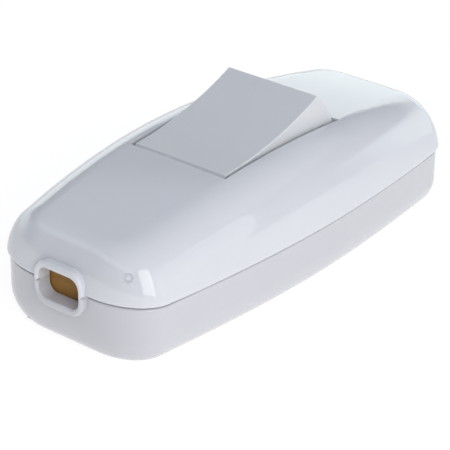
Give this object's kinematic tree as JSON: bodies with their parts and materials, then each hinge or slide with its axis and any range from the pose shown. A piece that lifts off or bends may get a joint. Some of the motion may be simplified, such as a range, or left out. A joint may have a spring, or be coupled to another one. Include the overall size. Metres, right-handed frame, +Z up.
{
  "type": "in-line rocker cord switch",
  "caption": "White in-line cord switch: two-part rounded housing with a flex entry at each end and a scooped see-saw rocker in its arched top.",
  "frame": {"origin": "middle of the flat underside", "axes": "+Z up through the rocker's window; +X along the flex, towards the end where the rocker stands raised; +Y across, to the neutral link's side"},
  "size_m": [0.0772, 0.0342, 0.0254],
  "materials": {
    "housing_plastic": "polished moulding",
    "rocker_plastic": "satin moulding",
    "plunger_plastic": "natural nylon",
    "fibre": "pressed vulcanised fibre",
    "brass": "stamped",
    "contact_silver": "bright",
    "steel": "drawn",
    "plated_steel": "zinc plated"
  },
  "bodies": {
    "housing": {"base_shell": "housing_plastic", "cover_shell": "housing_plastic", "pivot_pin": "steel", "fulcrum_strip": "brass", "fixed_contact_strip": "brass", "fixed_contact_tip": "contact_silver", "line_terminal_block": "brass", "load_terminal_block": "brass", "neutral_link_block": "brass", "terminal_screws": "plated_steel", "front_cord_grip": "fibre", "rear_cord_grip": "fibre", "cord_grip_screws": "plated_steel", "cover_screws": "plated_steel", "cover_nuts": "brass"},
    "rocker": {"rocker": "rocker_plastic", "plunger_spring": "steel"},
    "plunger": {"plunger": "plunger_plastic"},
    "contact_lever": {"contact_lever": "brass", "lever_contact_tip": "contact_silver"}
  },
  "joints": [
    {"name": "rocker_tilt", "type": "hinge", "parent": "housing", "child": "rocker", "pos_m": [0, 0, 0.0147], "axis": [0, 1, 0], "range_deg": [0, 27.2]},
    {"name": "contact_tilt", "type": "hinge", "parent": "housing", "child": "contact_lever", "pos_m": [0, 0, 0.0046], "axis": [0, 1, 0], "range_deg": [-19, 0]},
    {"name": "plunger_travel", "type": "slide", "parent": "rocker", "child": "plunger", "axis": [-0.2351, 0, 0.972], "range_m": [0, 0.0006], "stiffness_N_per_m": 900, "springref_m": -0.0012, "deforming": ["plunger_spring"]}
  ],
  "couplings": [
    {"joint": "contact_tilt", "follows": "rocker_tilt", "ratio": -0.69853}
  ]
}
